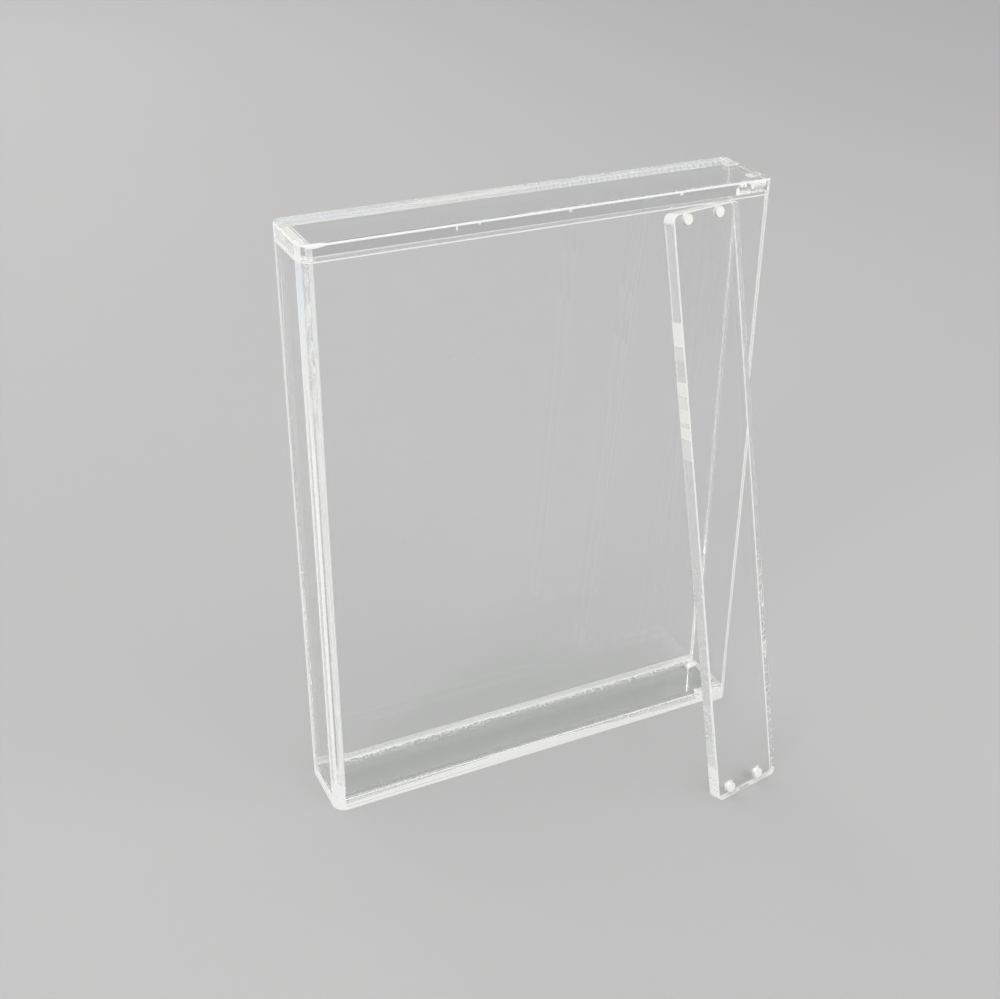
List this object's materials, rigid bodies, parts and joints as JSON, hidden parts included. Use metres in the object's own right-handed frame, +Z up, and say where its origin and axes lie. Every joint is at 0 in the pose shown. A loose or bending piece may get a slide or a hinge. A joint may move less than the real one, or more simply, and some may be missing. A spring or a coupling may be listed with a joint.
{
  "type": "video game box display case",
  "caption": "Clear upright sleeve case for a boxed video game, bonded from clear sheets, open at one end, with a loose magnetic end lid leaning on its front.",
  "frame": {"origin": "centre of the base plate's underside, where the case stands", "axes": "+X from the closed end to the open end, +Y from the front to the back, +Z up"},
  "size_m": [0.1404, 0.0709, 0.183],
  "materials": {
    "clear_sheet": "clear cast acrylic with polished edges",
    "magnet_plating": "bright nickel plate"
  },
  "bodies": {
    "case": {"top_plate": "clear_sheet", "bottom_plate": "clear_sheet", "front_panel": "clear_sheet", "rear_panel": "clear_sheet", "side_panel": "clear_sheet", "case_magnet_bottom_front": "magnet_plating", "case_magnet_bottom_rear": "magnet_plating", "case_magnet_top_front": "magnet_plating", "case_magnet_top_rear": "magnet_plating"},
    "lid": {"end_lid": "clear_sheet", "lid_magnet_bottom_left": "magnet_plating", "lid_magnet_bottom_right": "magnet_plating", "lid_magnet_top_left": "magnet_plating", "lid_magnet_top_right": "magnet_plating"}
  },
  "joints": [
    {"name": "lid_tip", "type": "hinge", "parent": "case", "child": "lid", "pos_m": [0.03936, -0.0583, 0.00075], "axis": [0.9842, 0.1771, 0], "range_deg": [0, 102.3]}
  ]
}
